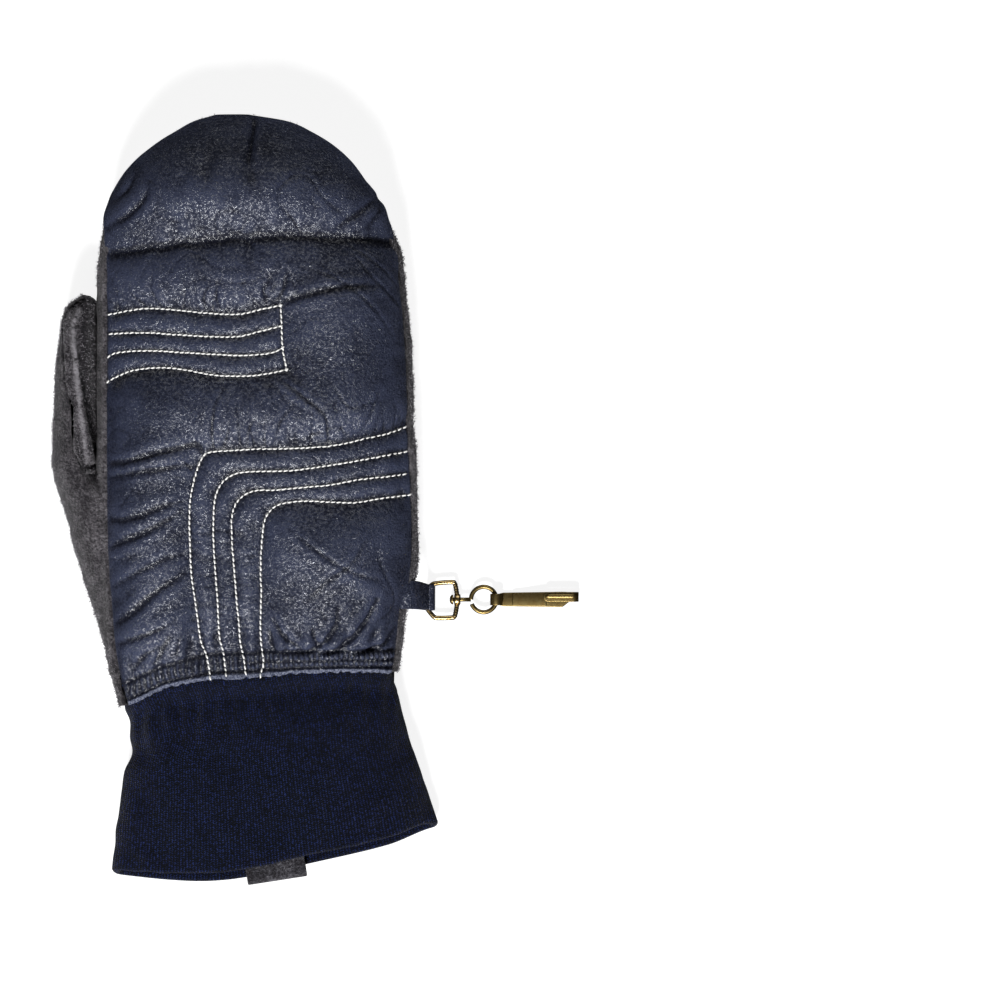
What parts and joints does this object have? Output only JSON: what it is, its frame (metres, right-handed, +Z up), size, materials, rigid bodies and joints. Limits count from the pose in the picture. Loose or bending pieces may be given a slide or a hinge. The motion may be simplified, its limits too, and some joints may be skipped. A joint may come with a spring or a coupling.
{
  "type": "leather mitten",
  "caption": "Padded leather ski mitten for the right hand, with a suede palm and thumb, a knit cuff, a pull tab and a swivel clip that holds the pair together.",
  "frame": {"origin": "on the flat underside of the palm, at the middle of the hand's width, 45 percent of the way from hem to fingertip", "axes": "+X from the thumb side to the clip side, +Y from the cuff to the fingertip, +Z up from the palm through the back of the hand"},
  "size_m": [0.2106, 0.3065, 0.0476],
  "materials": {
    "navy_leather": "glazed, lightly grained",
    "grey_suede": "napped suede",
    "navy_knit": "fine rib knit",
    "tab_suede": "napped suede",
    "cast_brass": "cast, rubbed bright",
    "aged_brass": "aged strip and wire"
  },
  "bodies": {
    "mitten": {"back_panel": "navy_leather", "palm_panel": "grey_suede", "thumb_gusset": "grey_suede", "knit_cuff": "navy_knit", "pull_tab": "tab_suede", "clip_tab": "navy_leather", "swivel_eye": "cast_brass"},
    "ring": {"swivel_ring": "aged_brass"},
    "hook": {"snap_hook": "aged_brass"},
    "gate": {"hook_gate": "aged_brass"}
  },
  "joints": [
    {"name": "ring_swivel", "type": "hinge", "parent": "mitten", "child": "ring", "pos_m": [0.08544, -0.0704, 0.0028], "axis": [1, 0, 0], "continuous": true},
    {"name": "hook_swing", "type": "hinge", "parent": "ring", "child": "hook", "pos_m": [0.09564, -0.0704, 0.0028], "axis": [0, 1, 0], "range_deg": [-130, 130]},
    {"name": "gate_press", "type": "hinge", "parent": "hook", "child": "gate", "pos_m": [0.10184, -0.0704, 0.00165], "axis": [0, 1, 0], "range_deg": [0, 7], "stiffness_Nm_per_rad": 0.05}
  ]
}
